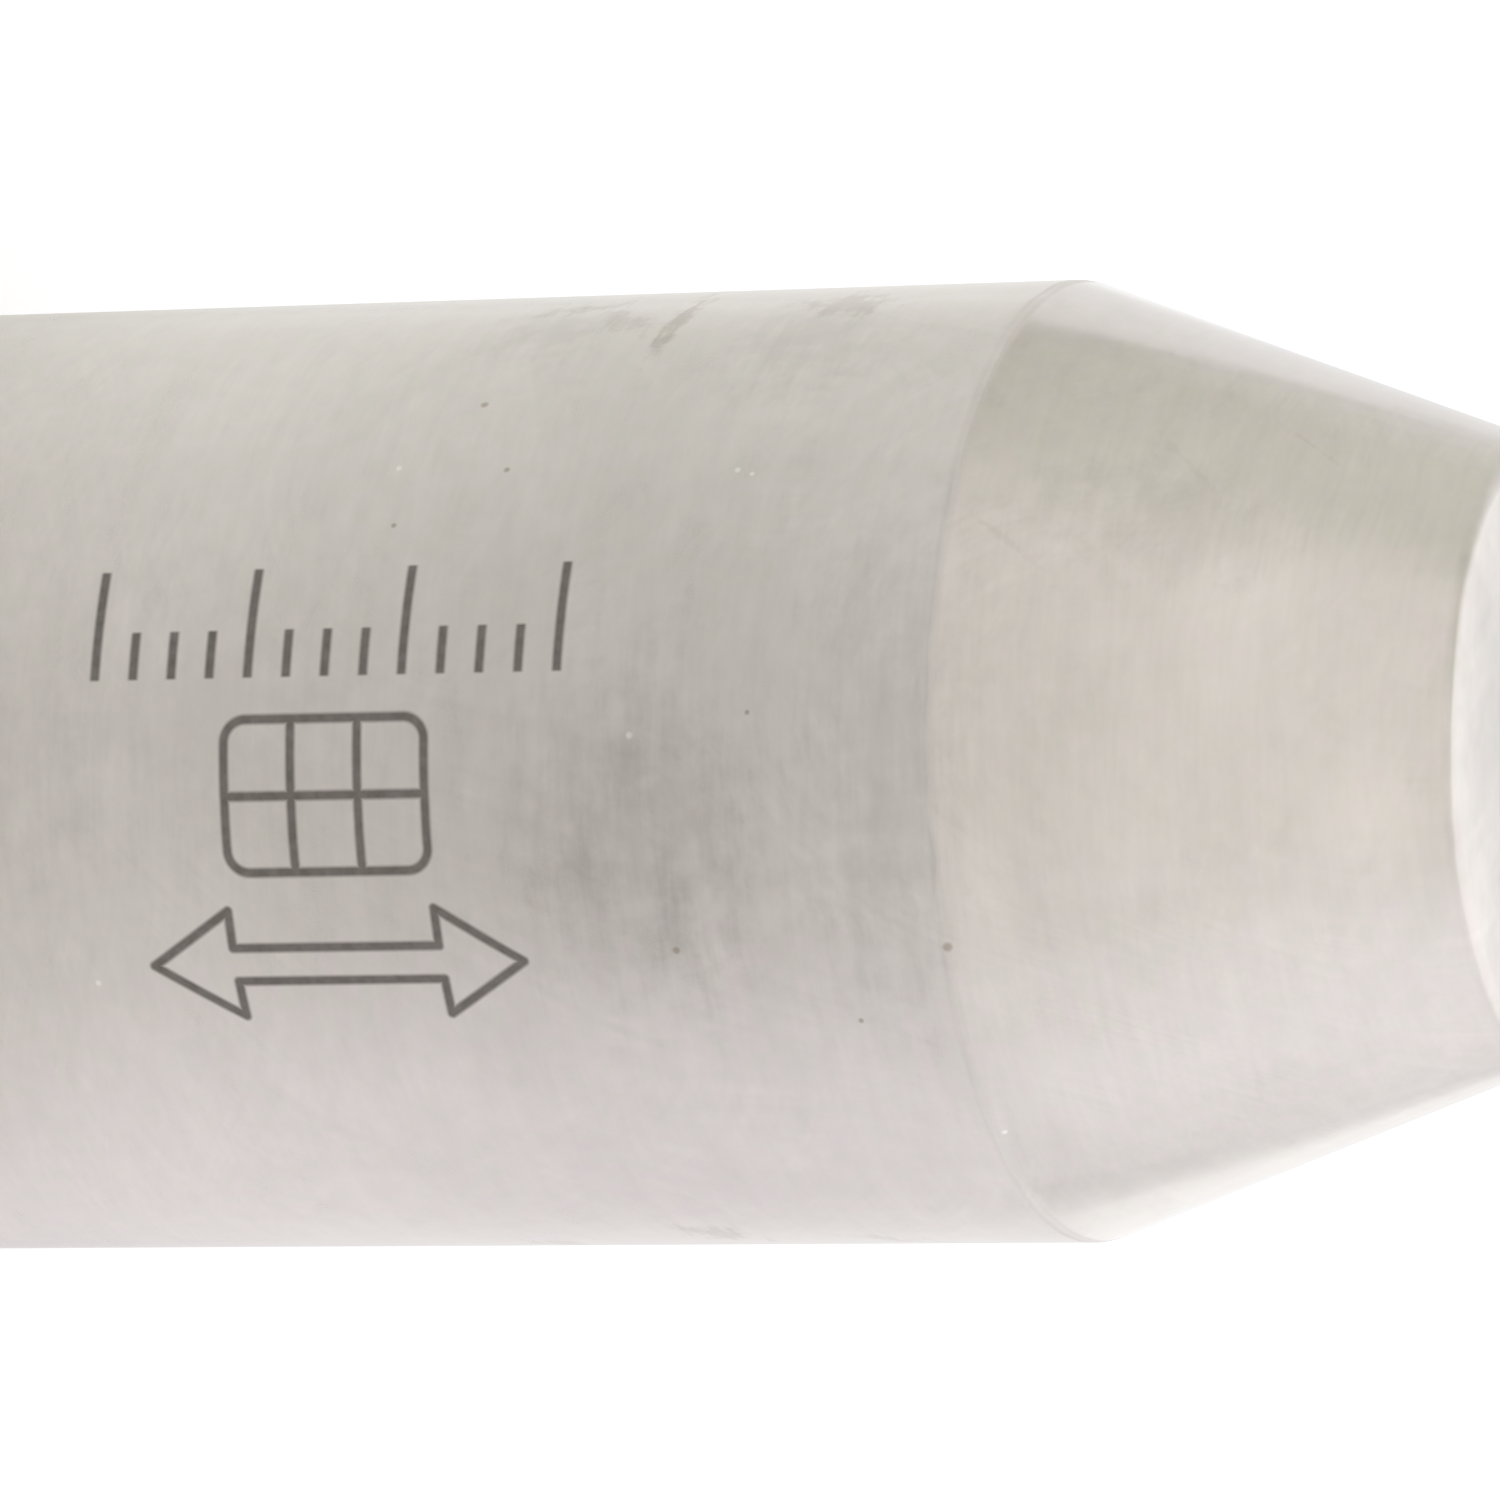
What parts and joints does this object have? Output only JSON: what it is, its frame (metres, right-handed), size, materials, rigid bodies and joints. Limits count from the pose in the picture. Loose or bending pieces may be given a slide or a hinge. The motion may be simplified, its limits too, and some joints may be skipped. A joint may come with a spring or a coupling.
{
  "type": "plasma torch shield cup",
  "caption": "Metal-skinned shield cup of a hand plasma cutting torch: straight round body, conical nose with a round opening, insulating liner and threaded brass insert inside.",
  "frame": {"origin": "centre of the rear rim's face, on which the cup stands", "axes": "+Z along the cup's axis towards the nose; X and Y are alike, the cup being round"},
  "size_m": [0.0296, 0.0296, 0.0531],
  "materials": {
    "satin_steel": "satin, turned",
    "phenolic": "matt, moulded",
    "brass": "turned"
  },
  "bodies": {
    "root": {"outer_shell": "satin_steel", "insulating_liner": "phenolic", "threaded_insert": "brass"}
  },
  "joints": []
}
